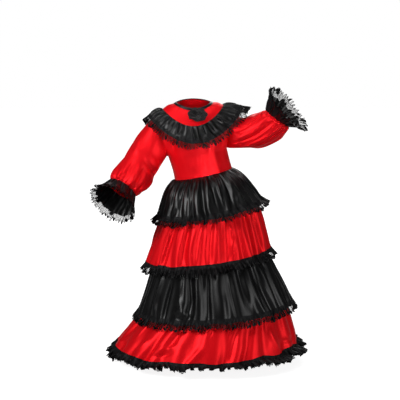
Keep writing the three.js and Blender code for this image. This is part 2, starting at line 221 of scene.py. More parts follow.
def new_group(name, inputs, outputs):
    tree = bpy.data.node_groups.new(name, "ShaderNodeTree")
    for label, kind, value in inputs:
        socket = tree.interface.new_socket(name=label, in_out="INPUT", socket_type=kind)
        if value is not None:
            socket.default_value = value
    for label, kind in outputs:
        tree.interface.new_socket(name=label, in_out="OUTPUT", socket_type=kind)
    return tree, tree.nodes.new("NodeGroupInput"), tree.nodes.new("NodeGroupOutput")


def node(tree, kind, values=None, **settings):
    n = tree.nodes.new(kind)
    for key, value in settings.items():
        setattr(n, key, value)
    for key, value in (values or {}).items():
        if isinstance(value, bpy.types.NodeSocket):
            tree.links.new(value, n.inputs[key])
        else:
            n.inputs[key].default_value = value
    return n


def calc(tree, operation, a, b=0.0, c=0.0):
    n = node(tree, "ShaderNodeMath", {0: a, 1: b, 2: c}, operation=operation)
    return n.outputs[0]


# A shader group that all the satins use: the fine weave, and a slight unevenness of tone.
weave, given, made = new_group("Satin weave",
                               [("Flat map", "NodeSocketVector", None),
                                ("Thread", "NodeSocketFloat", 0.0006),
                                ("Unevenness", "NodeSocketFloat", 0.05)],
                               [("Height", "NodeSocketFloat"), ("Tone", "NodeSocketFloat")])
RIDGE_EACH_THREAD = 6.283
RIDGE_EACH_FOUR_THREADS = 1.571
WARP_HEIGHT = 0.35
WEFT_HEIGHT = 0.15
split = node(weave, "ShaderNodeSeparateXYZ", {0: given.outputs["Flat map"]})
across = calc(weave, "DIVIDE", split.outputs["X"], given.outputs["Thread"])
warp = calc(weave, "SINE", calc(weave, "MULTIPLY", across, RIDGE_EACH_THREAD))
along = calc(weave, "DIVIDE", split.outputs["Y"], given.outputs["Thread"])
weft = calc(weave, "SINE", calc(weave, "MULTIPLY", along, RIDGE_EACH_FOUR_THREADS))
threads = calc(weave, "MULTIPLY_ADD", warp, WARP_HEIGHT, calc(weave, "MULTIPLY", weft, WEFT_HEIGHT))
weave.links.new(threads, made.inputs["Height"])
cloud = node(weave, "ShaderNodeTexNoise",
             {"Vector": given.outputs["Flat map"], "Scale": 28.0, "Detail": 3.0})
uneven = calc(weave, "SUBTRACT", cloud.outputs[0], 0.5)
tone = calc(weave, "MULTIPLY_ADD", uneven, given.outputs["Unevenness"], 1.0)
weave.links.new(tone, made.inputs["Tone"])


def flat_map(tree):
    return node(tree, "ShaderNodeUVMap", uv_map="UVMap").outputs[0]


def satin(name, colour, metallic, roughness, sheen, level):
    m = bpy.data.materials.new(name)
    m.use_nodes = True
    t = m.node_tree
    shader = t.nodes["Principled BSDF"]
    w = node(t, "ShaderNodeGroup", {}, node_tree=weave)
    t.links.new(flat_map(t), w.inputs["Flat map"])
    paint = node(t, "ShaderNodeMix", {0: 1.0, 6: (*colour, 1.0)}, data_type="RGBA", blend_type="MULTIPLY")
    tone = w.outputs["Tone"]
    grey = node(t, "ShaderNodeCombineColor", {0: tone, 1: tone, 2: tone})
    t.links.new(grey.outputs[0], paint.inputs[7])
    t.links.new(paint.outputs[2], shader.inputs["Base Color"])
    bump = node(t, "ShaderNodeBump", {"Height": w.outputs["Height"], "Strength": 0.12, "Distance": 0.0001})
    t.links.new(bump.outputs[0], shader.inputs["Normal"])
    shader.inputs["Metallic"].default_value = metallic
    shader.inputs["Roughness"].default_value = roughness
    shader.inputs["Sheen Weight"].default_value = sheen
    shader.inputs["Sheen Roughness"].default_value = 0.4
    shader.inputs["Specular IOR Level"].default_value = level
    return m


RED_SATIN = satin("Red satin", (0.80, 0.003, 0.008), metallic=0.40, roughness=0.44, sheen=0.0, level=0.14)
BLACK_SATIN = satin("Black satin", (0.0015, 0.0015, 0.0017),
                    metallic=0.0, roughness=0.34, sheen=0.0, level=0.30)

NECK = ring(0, 0, 0, 61, 50, 1, 6, 17, -8)
YOKE_MIDDLE = ring(-1, 0, -2, 84, 68, 2.5, 6, 43, 30)
YOKE_EDGE = ring(-2, 0, -13, 103, 82, 3.5, 6, 60, 52)
YOKE_COLUMNS = 240
YOKE_ROWS = 18
YOKE_PUCKERS = 26


def turn_steps(n):
    return np.arange(n) / n * 2 * math.pi


yoke = ring_grid([NECK, YOKE_MIDDLE, YOKE_EDGE], YOKE_ROWS, turn_steps(YOKE_COLUMNS))
yoke_field = fold_field(yoke, True)
yoke_height = np.zeros(yoke.shape[:2])
yoke_wide = lengths(yoke)[0]
rng = np.random.default_rng(7)
for k in range(YOKE_PUCKERS):
    at = rng.uniform(0, yoke_wide)
    start = (at, rng.uniform(0, 8))
    end = (at + rng.uniform(-14, 14), rng.uniform(22, 56))
    crease(yoke_height, yoke_field, start, end, rng.uniform(3, 7), rng.uniform(-0.9, 0.9))
yoke = pushed(yoke, True, yoke_height)
quarter = YOKE_COLUMNS // 4
closed_yoke = np.concatenate([yoke, yoke[:, :1]], 1)
for name, first, last, flat, area in [("yoke_back_left", 0, 1, (0.11, 0.09), 0.0074),
                                      ("yoke_back_right", 1, 2, (0.11, 0.09), 0.0074),
                                      ("yoke_front", 2, 4, (0.21, 0.10), 0.0135)]:
    piece = closed_yoke[:, first * quarter:last * quarter + 1]
    cloth(name, piece, False, SATIN_THICK, RED_SATIN)

# ---- Neck binding ----------------------------------------------------------------------------
# A narrow bias strip of black satin, folded over the raw neck edge of the yoke and stitched down
# on both sides.
BINDING_THICK = 0.8
BINDING_WIDE = 9.5
BINDING_INSIDE = 2.5
BINDING_ROWS = 10
BINDING_COLUMNS = 200
angles = turn_steps(BINDING_COLUMNS)
neck_edge = on_ring(NECK, np.cos(angles), np.sin(angles))
below = on_ring(YOKE_MIDDLE, np.cos(angles), np.sin(angles))
away = below - neck_edge
away /= np.linalg.norm(away, axis=1, keepdims=True)
lift = normals(np.stack([neck_edge, below]), True)[0]
binding = []
for step in np.linspace(0, 1, BINDING_ROWS):
    bulge = 1.6 + 1.6 * math.sin(math.pi * min(step + 0.25, 1))
    binding.append(neck_edge + away * (-BINDING_INSIDE + BINDING_WIDE * step) + lift * bulge)
cloth("neck_binding", np.array(binding), True, BINDING_THICK, BLACK_SATIN)

# ---- Bodice ----------------------------------------------------------------------------------
# A fitted bodice of red satin: one front and two backs, with side seams under the arms, sewn to
# the yoke and to the shoulder seams, and open down the centre back over a placket strip.
CHEST = ring(14, 0, -169, 101, 78, 7.6, 6)
RIBS = ring(22, 0, -196, 99, 77, 8.8, 6)
MIDRIFF = ring(29, 0, -221, 98, 76, 10.2, 6)
WAIST = ring(34, 0, -243, 99, 77, 11.5, 6)
TIPS = {-1: np.array([-122.0, -8, -30]), 1: np.array([119.0, 8, -14])}
ARMHOLE_DEEP = 42
YOKE_SHARE = 0.6
BODICE_COLUMNS = 70
BODICE_UPPER_ROWS = 36
BODICE_LOWER_ROWS = 20
BODICE_PUCKERS = 24


def bodice_top(side, face, u, s):
    """The panel between the yoke or shoulder seam (s 0) and the chest (s 1), u from the centre line."""
    u, s = np.broadcast_arrays(np.asarray(u, float), np.asarray(s, float))
    angle = np.minimum(u / YOKE_SHARE, 1) * math.pi / 2
    top = on_ring(YOKE_EDGE, side * np.sin(angle), face * np.cos(angle))
    over = np.clip((u - YOKE_SHARE) / (1 - YOKE_SHARE), 0, 1)[..., None]
    top = top * (1 - over) + TIPS[side] * over
    low = on_ring(CHEST, side * np.sin(u * math.pi / 2), face * np.cos(u * math.pi / 2))
    # Pulls on the curve of the cloth at both ends: on the centre line, shoulder and armhole edge.
    centre = np.array([[0, 4 * face, -32], [0, 5 * face, 32]], float)
    shoulder = np.array([[0, 38 * face, -9], [0, 7 * face, 46]], float)
    edge = np.array([[0, 4 / 3 * ARMHOLE_DEEP * face, 0]] * 2, float)
    near = np.clip(u / YOKE_SHARE, 0, 1)[..., None] ** 1.5
    pulls = [(centre[k] * (1 - near) + shoulder[k] * near) * (1 - over) + edge[k] * over for k in (0, 1)]
    s = s[..., None]
    r = 1 - s
    return (top * r ** 3 + (top + pulls[0]) * 3 * r * r * s
            + (low + pulls[1]) * 3 * r * s * s + low * s ** 3)


def bodice_half(side, face):
    """Half of the front (face -1) or of the back (face 1), from its centre line to the side seam."""
    u = np.linspace(0, 1, BODICE_COLUMNS)
    upper = bodice_top(side, face, u[None], np.linspace(0, 1, BODICE_UPPER_ROWS)[:, None])
    lower = smooth([CHEST, RIBS, MIDRIFF, WAIST], np.linspace(0, 1, BODICE_LOWER_ROWS)[1:])
    angle = u * math.pi / 2
    lower = on_ring(lower[:, None], side * np.sin(angle)[None], face * np.cos(angle)[None])
    return np.concatenate([upper, lower])


def marked(height, field, size, marks):
    """Adds chosen folds: start and end in shares across and down, width, depth and bend in mm."""
    wide, long = size
    for start, end, width, depth, bend in marks:
        start, end = (start[0] * wide, start[1] * long), (end[0] * wide, end[1] * long)
        crease(height, field, start, end, width, depth, bend)


def shaped(grid, seed, marks):
    """Small puckers that rise from the waist seam, and the chosen folds."""
    field = fold_field(grid, False)
    height = np.zeros(grid.shape[:2])
    wide, long = lengths(grid)
    r = np.random.default_rng(seed)
    for k in range(BODICE_PUCKERS):
        at = r.uniform(0, wide)
        tall = r.uniform(20, 70)
        end = (at + r.uniform(-16, 16), long - tall)
        crease(height, field, (at, long), end, r.uniform(3, 8), r.uniform(-0.8, 0.8))
    marked(height, field, (wide, long), marks)
    return pushed(grid, False, height)


FRONT_FOLDS = [((0.655, 0.3), (0.65, 1.3), 12, 6.0, 4), ((0.76, 0.3), (0.755, 1.3), 13, -2.4, 0),
               ((0.52, 0.3), (0.50, 1.3), 24, 1.6, 0), ((0.30, 0.35), (0.33, 1.3), 20, 1.4, 0)]
BACK_LEFT_FOLDS = [((0.3, 0.5), (0.35, 1.0), 14, -1.5, 0)]
BACK_RIGHT_FOLDS = [((0.6, 0.5), (0.65, 1.0), 14, -1.5, 0)]
front = np.concatenate([bodice_half(-1, -1)[:, ::-1], bodice_half(1, -1)[:, 1:]], 1)
cloth("bodice_front", shaped(front, 3, FRONT_FOLDS), False, SATIN_THICK, RED_SATIN)
back_left = shaped(bodice_half(1, 1)[:, ::-1], 5, BACK_LEFT_FOLDS)
cloth("bodice_back_left", back_left, False, SATIN_THICK, RED_SATIN)
back_right = shaped(bodice_half(-1, 1), 6, BACK_RIGHT_FOLDS)
cloth("bodice_back_right", back_right, False, SATIN_THICK, RED_SATIN)

PLACKET_SINK = 2.5
PLACKET_HALF = 0.09
strip = []
for place in [1.0, 0.5, 0.0, -0.5, -1.0]:
    side = 1 if place >= 0 else -1
    u = PLACKET_HALF * abs(place)
    angle = u / YOKE_SHARE * math.pi / 2
    rings_down = smooth([NECK, YOKE_MIDDLE, YOKE_EDGE], np.linspace(0, 0.9, 12))
    column = [on_ring(rings_down, side * math.sin(angle), math.cos(angle))]
    column.append(bodice_top(side, 1, u, np.linspace(0.02, 1, 24)))
    rings_down = smooth([CHEST, RIBS, MIDRIFF], np.linspace(0, 1, 12)[1:])
    column.append(on_ring(rings_down, side * math.sin(u * math.pi / 2), math.cos(u * math.pi / 2)))
    strip.append(np.concatenate(column))
placket = np.array(strip).transpose(1, 0, 2)
placket = pushed(placket, False, np.full(placket.shape[:2], -PLACKET_SINK))
cloth("back_placket", placket, False, SATIN_THICK, RED_SATIN)

# ---- Lace ------------------------------------------------------------------------------------
# Machine lace with a gathered heading: a net of fine thread with small leaf motifs and a
# scalloped edge. The heading lies on the satin edge and is stitched through.
lace_threads, given, made = new_group("Lace threads",
                                      [("Flat map", "NodeSocketVector", None),
                                       ("Depth of lace", "NodeSocketFloat", 0.04),
                                       ("Heading", "NodeSocketFloat", 0.01),
                                       ("Mesh size", "NodeSocketFloat", 0.0022),
                                       ("Scallop width", "NodeSocketFloat", 0.014),
                                       ("Point depth", "NodeSocketFloat", 0.006)],
                                      [("Cover", "NodeSocketFloat"), ("Height", "NodeSocketFloat")])
NET_THICK = 0.4
THREAD_SHARE = 0.16
LEAVES_TO_SCALLOP = 0.62
LEAF_SIZE = 0.42
SCALLOP_ROUNDNESS = 1.3
BORDER_WIDE = 0.0022


def knit(operation, a, b=0.0):
    return calc(lace_threads, operation, a, b)


def cells(feature, randomness, scale):
    """A pattern of cells on the lace's flat map, with the given number of cells to a metre."""
    n = node(lace_threads, "ShaderNodeTexVoronoi",
             {"Vector": given.outputs["Flat map"], "Randomness": randomness}, feature=feature)
    lace_threads.links.new(scale, n.inputs["Scale"])
    return n.outputs["Distance"]


split = node(lace_threads, "ShaderNodeSeparateXYZ", {0: given.outputs["Flat map"]})
scallop = given.outputs["Scallop width"]
net = cells("DISTANCE_TO_EDGE", 0.35, knit("DIVIDE", 1.0, given.outputs["Mesh size"]))
net = knit("LESS_THAN", net, THREAD_SHARE)
leaves = knit("LESS_THAN", cells("F1", 0.55, knit("DIVIDE", LEAVES_TO_SCALLOP, scallop)), LEAF_SIZE)
from_point = knit("PINGPONG", split.outputs["X"], knit("MULTIPLY", scallop, 0.5))
from_point = knit("MULTIPLY", knit("DIVIDE", from_point, scallop), 2.0)
rim_height = knit("MULTIPLY", knit("POWER", from_point, SCALLOP_ROUNDNESS), given.outputs["Point depth"])
above_rim = knit("SUBTRACT", split.outputs["Y"], rim_height)
inside = knit("GREATER_THAN", above_rim, 0.0)
border = knit("MULTIPLY", inside, knit("LESS_THAN", above_rim, BORDER_WIDE))
heading_foot = knit("SUBTRACT", given.outputs["Depth of lace"], given.outputs["Heading"])
heading = knit("GREATER_THAN", split.outputs["Y"], heading_foot)
cover = knit("MAXIMUM", knit("MAXIMUM", net, leaves), knit("MAXIMUM", border, heading))
lace_threads.links.new(knit("MULTIPLY", cover, inside), made.inputs["Cover"])
lace_threads.links.new(knit("ADD", leaves, border), made.inputs["Height"])


def lace(name, depth, heading=0.020, mesh_size=0.0026, scallop=0.012, points=0.010):
    m = bpy.data.materials.new(name)
    m.use_nodes = True
    t = m.node_tree
    shader = t.nodes["Principled BSDF"]
    sizes = {"Depth of lace": depth, "Heading": heading, "Mesh size": mesh_size,
             "Scallop width": scallop, "Point depth": points}
    g = node(t, "ShaderNodeGroup", sizes, node_tree=lace_threads)
    t.links.new(flat_map(t), g.inputs["Flat map"])
    t.links.new(g.outputs["Cover"], shader.inputs["Alpha"])
    bump = node(t, "ShaderNodeBump", {"Height": g.outputs["Height"], "Strength": 0.5, "Distance": 0.0003})
    t.links.new(bump.outputs[0], shader.inputs["Normal"])
    shader.inputs["Base Color"].default_value = (0.004, 0.004, 0.0045, 1)
    shader.inputs["Roughness"].default_value = 0.55
    shader.inputs["Specular IOR Level"].default_value = 0.13
    return m


def sample(grid, across, down):
    """Points of a closed grid at shares across and down."""
    rows, columns = grid.shape[:2]
    x = np.asarray(across) * columns
    y = np.clip(np.asarray(down), 0, 1) * (rows - 1)
    i, j = np.floor(x).astype(int), np.clip(np.floor(y).astype(int), 0, rows - 2)
    fx, fy = (x - i)[..., None], (y - j)[..., None]
    i0, i1 = i % columns, (i + 1) % columns
    return (grid[j, i0] * (1 - fx) * (1 - fy) + grid[j, i1] * fx * (1 - fy)
            + grid[j + 1, i0] * (1 - fx) * fy + grid[j + 1, i1] * fx * fy)


HEADING_ROWS = 4
HEADING_GAP = 0.9


def ruffle(satin_grid, rim, pleats, columns, seed, swing, heading=8.0, rows=9, tips=5.0):
    """A gathered strip: its heading lies on the last of the satin, then it flares to the rim. swing
    is how far the pleats stand out, tips how far their points rise and fall, in millimetres."""
    long = lengths(satin_grid)[1]
    share = np.arange(columns) / columns
    r = np.random.default_rng(seed)
    jitter = np.cumsum(r.uniform(0.55, 1.45, pleats))
    phase = np.interp(share, np.r_[0, jitter / jitter[-1]], np.arange(pleats + 1)) * 2 * math.pi
    strength = np.interp(share, np.linspace(0, 1, pleats + 1), np.r_[r.uniform(0.5, 1.25, pleats), 1.0])
    strength[-1] = strength[0]
    lifted = pushed(satin_grid, True, np.full(satin_grid.shape[:2], HEADING_GAP))
    starts = 1 - heading * (1 - np.arange(HEADING_ROWS) / HEADING_ROWS) / long
    head = [sample(lifted, share, np.full(columns, start)) for start in starts]
    hem = sample(lifted, share, np.full(columns, 1.0))
    edge = sample(rim[None].repeat(2, 0), share, np.zeros(columns))
    path = np.array(head + [hem * (1 - t) + edge * t for t in np.linspace(0, 1, rows)])
    n = normals(path, True)
    down = np.gradient(path, axis=0)
    down /= np.maximum(np.linalg.norm(down, axis=-1, keepdims=True), 1e-9)
    side = np.cross(n, down)
    t = np.r_[np.linspace(0.02, 0.06, HEADING_ROWS), np.linspace(0.06, 1, rows)][:, None]
    wave = np.cos(phase)[None] * strength[None]
    twist = np.sin(2 * phase + 0.7)[None] * strength[None]
    out = swing * t * wave + swing * 0.25 * t
    tip = r.uniform(-1, 1, pleats + 1)
    tip[-1] = tip[0]
    uneven = np.interp(share, np.linspace(0, 1, pleats + 1), tip)[None]
    return (path + n * out[..., None] + side * (0.35 * swing * t * twist)[..., None]
            + down * (tips * t ** 2 * uneven)[..., None])


# ---- Collar ----------------------------------------------------------------------------------
# A flounce of black satin, gathered into the seam round the edge of the yoke, with gathered lace
# stitched on at its free edge. Both are open at the centre back.
FOLD_STEPS = 44
DRIFT_WAVES = 8
DRIFT_PEAK = 3.4


def fold_places(angles):
    """Where the angles fall among the numbered folds, where odd numbers are ridges. The side seams
    keep their places."""
    i = np.arange(FOLD_STEPS + 1)
    step = 2 * math.pi / FOLD_STEPS
    uneven = 0.22 * step * np.sin(2 * math.pi * 5 * i / FOLD_STEPS + 1)
    uneven = np.where(i % (FOLD_STEPS // 2) == 0, 0, uneven)
    return np.interp(angles, i * step + uneven, i)


def fold_wave(angles, narrow, seed=0):
    """Rounded folds between narrow troughs, no two alike: 1 on a ridge, -1 in a trough."""
    turns = 2 * math.pi
    i = fold_places(np.mod(angles, turns))
    share = 0.74 + 0.26 * np.sin(7 * turns * i / FOLD_STEPS + seed)
    return share * (1 - 2 * ((1 + np.cos(math.pi * i)) / 2) ** narrow)


def drift(angles, down, seed, fewest, most):
    """A smooth uneven field from about -1 to 1 that closes on itself round the body."""
    r = np.random.default_rng(seed)
    total = 0
    for k in range(DRIFT_WAVES):
        wave = r.integers(fewest, most + 1) * angles[None] + r.uniform(0, 6.28)
        total = total + np.sin(wave + r.uniform(-3.5, 3.5) * down)
    return total / DRIFT_PEAK


def swayed(angles, down, sway, seed):
    """The angles at each row, drifting sideways on the way down so that no fold hangs quite straight."""
    return angles[None] + sway * down * drift(angles, down, seed, 1, 6)


def gather_creases(height, field, long, count, seed, reach, width, depth, slant, top=True):
    """Small pleats that run from a gathered edge into the cloth and die out at uneven lengths."""
    r = np.random.default_rng(seed)
    wide = field[2]
    for k in range(count):
        at = (k + r.uniform(0.1, 0.9)) / count * wide
        tall = r.uniform(*reach) * long
        lean = r.uniform(-slant, slant)
        sign = 1 if k % 2 else -1
        if top:
            start, end = (at, -0.3 * tall), (at + lean, tall)
        else:
            start, end = (at, long + 0.3 * tall), (at + lean, long - tall)
        crease(height, field, start, end, r.uniform(*width), sign * r.uniform(*depth), r.uniform(-4, 4), 0.3)


COLLAR_RINGS = [YOKE_EDGE + np.array([0, 0, 1.5, 2, 3, 0, 0, 0, 0]),
                ring(2, 0, -15, 132, 93, 4, 6, 84, 76),
                ring(7, 0, -28, 160, 99, 5, 6, 97, 91)]
COLLAR_RIM = ring(12, 0, -41, 184, 104, 6.2, 6, 109, 104)
COLLAR_COLUMNS = 760
COLLAR_ROWS = 20
COLLAR_SINK = 2.4
angles = turn_steps(COLLAR_COLUMNS)
collar = ring_grid(COLLAR_RINGS, COLLAR_ROWS, angles)
field = fold_field(collar, True)
long = lengths(collar)[1]
down = np.linspace(0, 1, COLLAR_ROWS)[:, None]
height = (0.8 + 4.2 * down ** 0.8) * fold_wave(swayed(angles, down, 0.02, 1), 1.4)
gather_creases(height, field, long, 84, 21, (0.8, 1.6), (3.2, 4.6), (4.2, 7.0), slant=9)
gather_creases(height, field, long, 34, 23, (0.4, 0.8), (4.0, 6.0), (1.0, 2.6), top=False, slant=8)
height = np.where(height < 0, COLLAR_SINK * np.tanh(height / COLLAR_SINK), height)
collar = pushed(collar, True, height * np.clip(0.25 + down * 4, 0, 1))


def open_at_back(grid):
    """The closed grid turned so that it starts and ends on the centre back, where it is open."""
    turned = np.roll(grid, -(grid.shape[1] // 4), 1)
    return np.concatenate([turned, turned[:, :1]], 1)


cloth("collar_flounce", open_at_back(collar), False, SATIN_THICK, BLACK_SATIN)
LACE_COLLAR = lace("Collar lace", 0.036)
COLLAR_PLEATS = 84
COLUMNS_TO_COLLAR_PLEAT = 10
rim = on_ring(COLLAR_RIM, np.cos(angles), np.sin(angles))
collar_lace = ruffle(collar, rim, COLLAR_PLEATS, COLLAR_PLEATS * COLUMNS_TO_COLLAR_PLEAT, 31,
                     swing=6.5, rows=8, tips=4.5)
cloth("collar_lace", open_at_back(collar_lace), False, NET_THICK, LACE_COLLAR)

# ---- Rosette ---------------------------------------------------------------------------------
# A strip of black satin, doubled and gathered along its raw edges into a flat spiral flower. It is
# sewn to the yoke front below the neck binding.
face = np.array([0.1, -0.84, 0.53])
face /= np.linalg.norm(face)
up = np.array([0, 0, 1.0]) - face * face[2]
up /= np.linalg.norm(up)
right = np.cross(up, face)
middle = np.array([14, -63.7, -41.0]) + face * 8
ROSETTE_TURNS = 5.6
ROSETTE_RADIUS = 24.5
ROSETTE_TALL = 14
ROSETTE_OVAL = 0.83
ROSETTE_THICK = 0.5
ROSETTE_COLUMNS = 1120
ROSETTE_ROWS = 10
PETALS = 40
along = np.linspace(0, 1, ROSETTE_COLUMNS)
spin = along * 2 * math.pi * ROSETTE_TURNS
radius = 0.6 + ROSETTE_RADIUS * along ** 0.9
petal = np.sin(along * 2 * math.pi * PETALS + 3 * np.sin(9 * along))
ripple = np.cos(along * 2 * math.pi * PETALS + 0.8)
rosette = []
for t in np.linspace(0, 1, ROSETTE_ROWS):
    seam = np.clip(1 - t / 0.2, 0, 1)
    lean = 9 * np.clip(0.1 + 1.6 * along, 0, 1) * t ** 1.3
    reach = np.maximum(radius - 6 * seam, 0) + lean + 1.9 * petal * t
    rise = 1.0 + ROSETTE_TALL * (1 - along * 0.75) * t ** 0.7 + 1.5 * ripple * t
    rosette.append(middle + right * (reach * np.cos(spin))[:, None]
                   + up * (ROSETTE_OVAL * reach * np.sin(spin))[:, None] + face * rise[:, None])
rosette = np.array(rosette)[::-1]
ROSETTE_SATIN = satin("Rosette satin", (0.012, 0.012, 0.0125),
                      metallic=0.0, roughness=0.75, sheen=0.2, level=0.25)
cloth("rosette", rosette, False, ROSETTE_THICK, ROSETTE_SATIN)

# ---- Sleeves ---------------------------------------------------------------------------------
# Full sleeves of red satin, eased into the armholes and gathered into the cuffs, where the
# cloth bags over the seam. Each cuff is a flounce of black satin edged with lace.

# A section is its middle, the way the sleeve runs there, and its radius, from the shoulder down.
SLEEVES = {
    "right": dict(side=-1, sections=[
        ((-139, -8, -143), (-0.68, -0.25, -0.7), 62), ((-160, -21, -174), (-0.62, -0.36, -0.7), 62),
        ((-189, -45, -218), (-0.55, -0.42, -0.72), 63), ((-219, -73, -258), (-0.52, -0.47, -0.71), 62),
        ((-234, -88, -274), (-0.51, -0.48, -0.71), 55), ((-238, -91, -278), (-0.51, -0.48, -0.71), 49),
        ((-244, -97, -286), (-0.51, -0.5, -0.7), 46)],
        flounce=[((-238, -91, -279), (-0.51, -0.48, -0.71), 50),
                 ((-251, -108, -298), (-0.48, -0.58, -0.66), 60),
                 ((-262, -126, -316), (-0.45, -0.68, -0.58), 70)],
        rim=((-273, -141, -328), (-0.44, -0.72, -0.54), 83)),
    "left": dict(side=1, sections=[
        ((140, 4, -97), (0.97, -0.1, -0.1), 60), ((165, -1, -103), (0.99, -0.1, 0.02), 52),
        ((220, -10, -93), (0.96, -0.12, 0.24), 55), ((259, -18, -74), (0.8, -0.12, 0.58), 54),
        ((281, -24, -56), (0.58, -0.08, 0.81), 51), ((285, -25, -50), (0.57, -0.08, 0.82), 47),
        ((291, -26, -42), (0.58, -0.08, 0.81), 44)],
        flounce=[((285, -25, -49.5), (0.58, -0.08, 0.81), 48), ((299, -27, -37), (0.64, -0.12, 0.76), 62),
                 ((312, -30, -26), (0.7, -0.15, 0.7), 75)],
        rim=((326, -35, -14), (0.73, -0.25, 0.64), 96)),
}


def section(middle, direction, radius, angles):
    """A circle of points square to a direction, from its top round."""
    axis = np.array(direction, float)
    axis /= np.linalg.norm(axis)
    up = np.array([0, 0, 1.0]) - axis * axis[2]
    up /= np.linalg.norm(up)
    beside = np.cross(up, axis)
    circle = np.cos(angles)[:, None] * up + np.sin(angles)[:, None] * beside
    return np.array(middle, float) + radius * circle


def armhole(side, angles):
    """The open edge of the bodice: down one face from the shoulder tip, and up the other."""
    share = angles / math.pi
    low = share > 1
    s = np.where(low, 2 - share, share)
    a = bodice_top(side, side, 1.0, s)
    b = bodice_top(side, -side, 1.0, s)
    return np.where(low[:, None], b, a)


def seam_allowance(ring_points, side):
    """The raw edge of the sleeve head, turned in just under the armhole."""
    centre = ring_points.mean(0)
    return centre + (ring_points - centre) * 0.965 - np.array([side * 4.0, 0, 0])


SLEEVE_COLUMNS = 240
SLEEVE_ROWS = 62
SHORTEST_STEP = 9
SLEEVE_DENTS = 5
SLEEVE_FOLDS = {
    "right": [((0.32, 0.17), (0.43, 0.28), 6, -4, 3), ((0.31, 0.23), (0.41, 0.35), 6, 3.5, 3),
              ((0.14, 0.51), (0.45, 0.55), 8, -7, 7), ((0.15, 0.42), (0.42, 0.44), 14, 5, 8),
              ((0.44, 0.54), (0.29, 0.92), 9, 7, -5), ((0.48, 0.60), (0.35, 1.0), 8, -6, -5),
              ((0.17, 0.62), (0.20, 1.05), 9, 6, 4), ((0.21, 0.56), (0.26, 1.0), 7, -6, 4),
              ((0.24, 0.62), (0.27, 0.86), 7, 4, 3), ((0.09, 0.55), (0.13, 1.05), 9, -5, 5),
              ((0.04, 0.25), (0.10, 0.55), 15, 4, 6), ((0.60, 0.28), (0.75, 0.60), 12, -6, 6),
              ((0.70, 0.45), (0.82, 1.0), 11, 5, 5), ((0.86, 0.25), (0.96, 0.75), 13, -5, 6),
              ((0.54, 0.40), (0.62, 1.0), 10, 5, 5)],
    "left": [((0.50, 0.06), (0.64, 1.05), 8, -6, -10), ((0.54, 0.02), (0.70, 1.05), 9, 6, -10),
             ((0.60, 0.02), (0.78, 1.02), 8, -6, -10), ((0.65, 0.04), (0.86, 0.98), 10, 6, -8),
             ((0.73, 0.08), (0.94, 0.95), 9, -6, -8), ((0.48, 0.34), (0.55, 1.05), 10, 6, 6),
             ((0.42, 0.40), (0.47, 1.05), 9, -6, 4), ((0.30, 0.30), (0.38, 0.95), 12, 5, 5),
             ((0.18, 0.20), (0.28, 0.85), 11, -5, 6), ((0.04, 0.30), (0.10, 0.95), 12, 5, 5),
             ((0.52, 0.10), (0.67, 0.9), 3.5, 2.4, -9), ((0.57, 0.15), (0.70, 0.8), 3.5, -2.4, -9),
             ((0.59, 0.05), (0.74, 0.9), 3.5, 2.6, -9), ((0.63, 0.10), (0.80, 0.85), 3.5, 2.4, -8),
             ((0.68, 0.10), (0.83, 0.8), 3.5, -2.4, -8), ((0.70, 0.05), (0.90, 0.9), 4, 2.6, -7),
             ((0.77, 0.15), (0.95, 0.8), 4, 2.4, -6), ((0.46, 0.3), (0.52, 0.95), 3.5, 2.2, -4)],
}
LACE_CUFF = lace("Cuff lace", 0.036, heading=0.010, mesh_size=0.0028)
CUFF_COLUMNS = 360
CUFF_ROWS = 14
CUFF_WAVES = 12
CUFF_PLEATS = 34
COLUMNS_TO_CUFF_PLEAT = 12
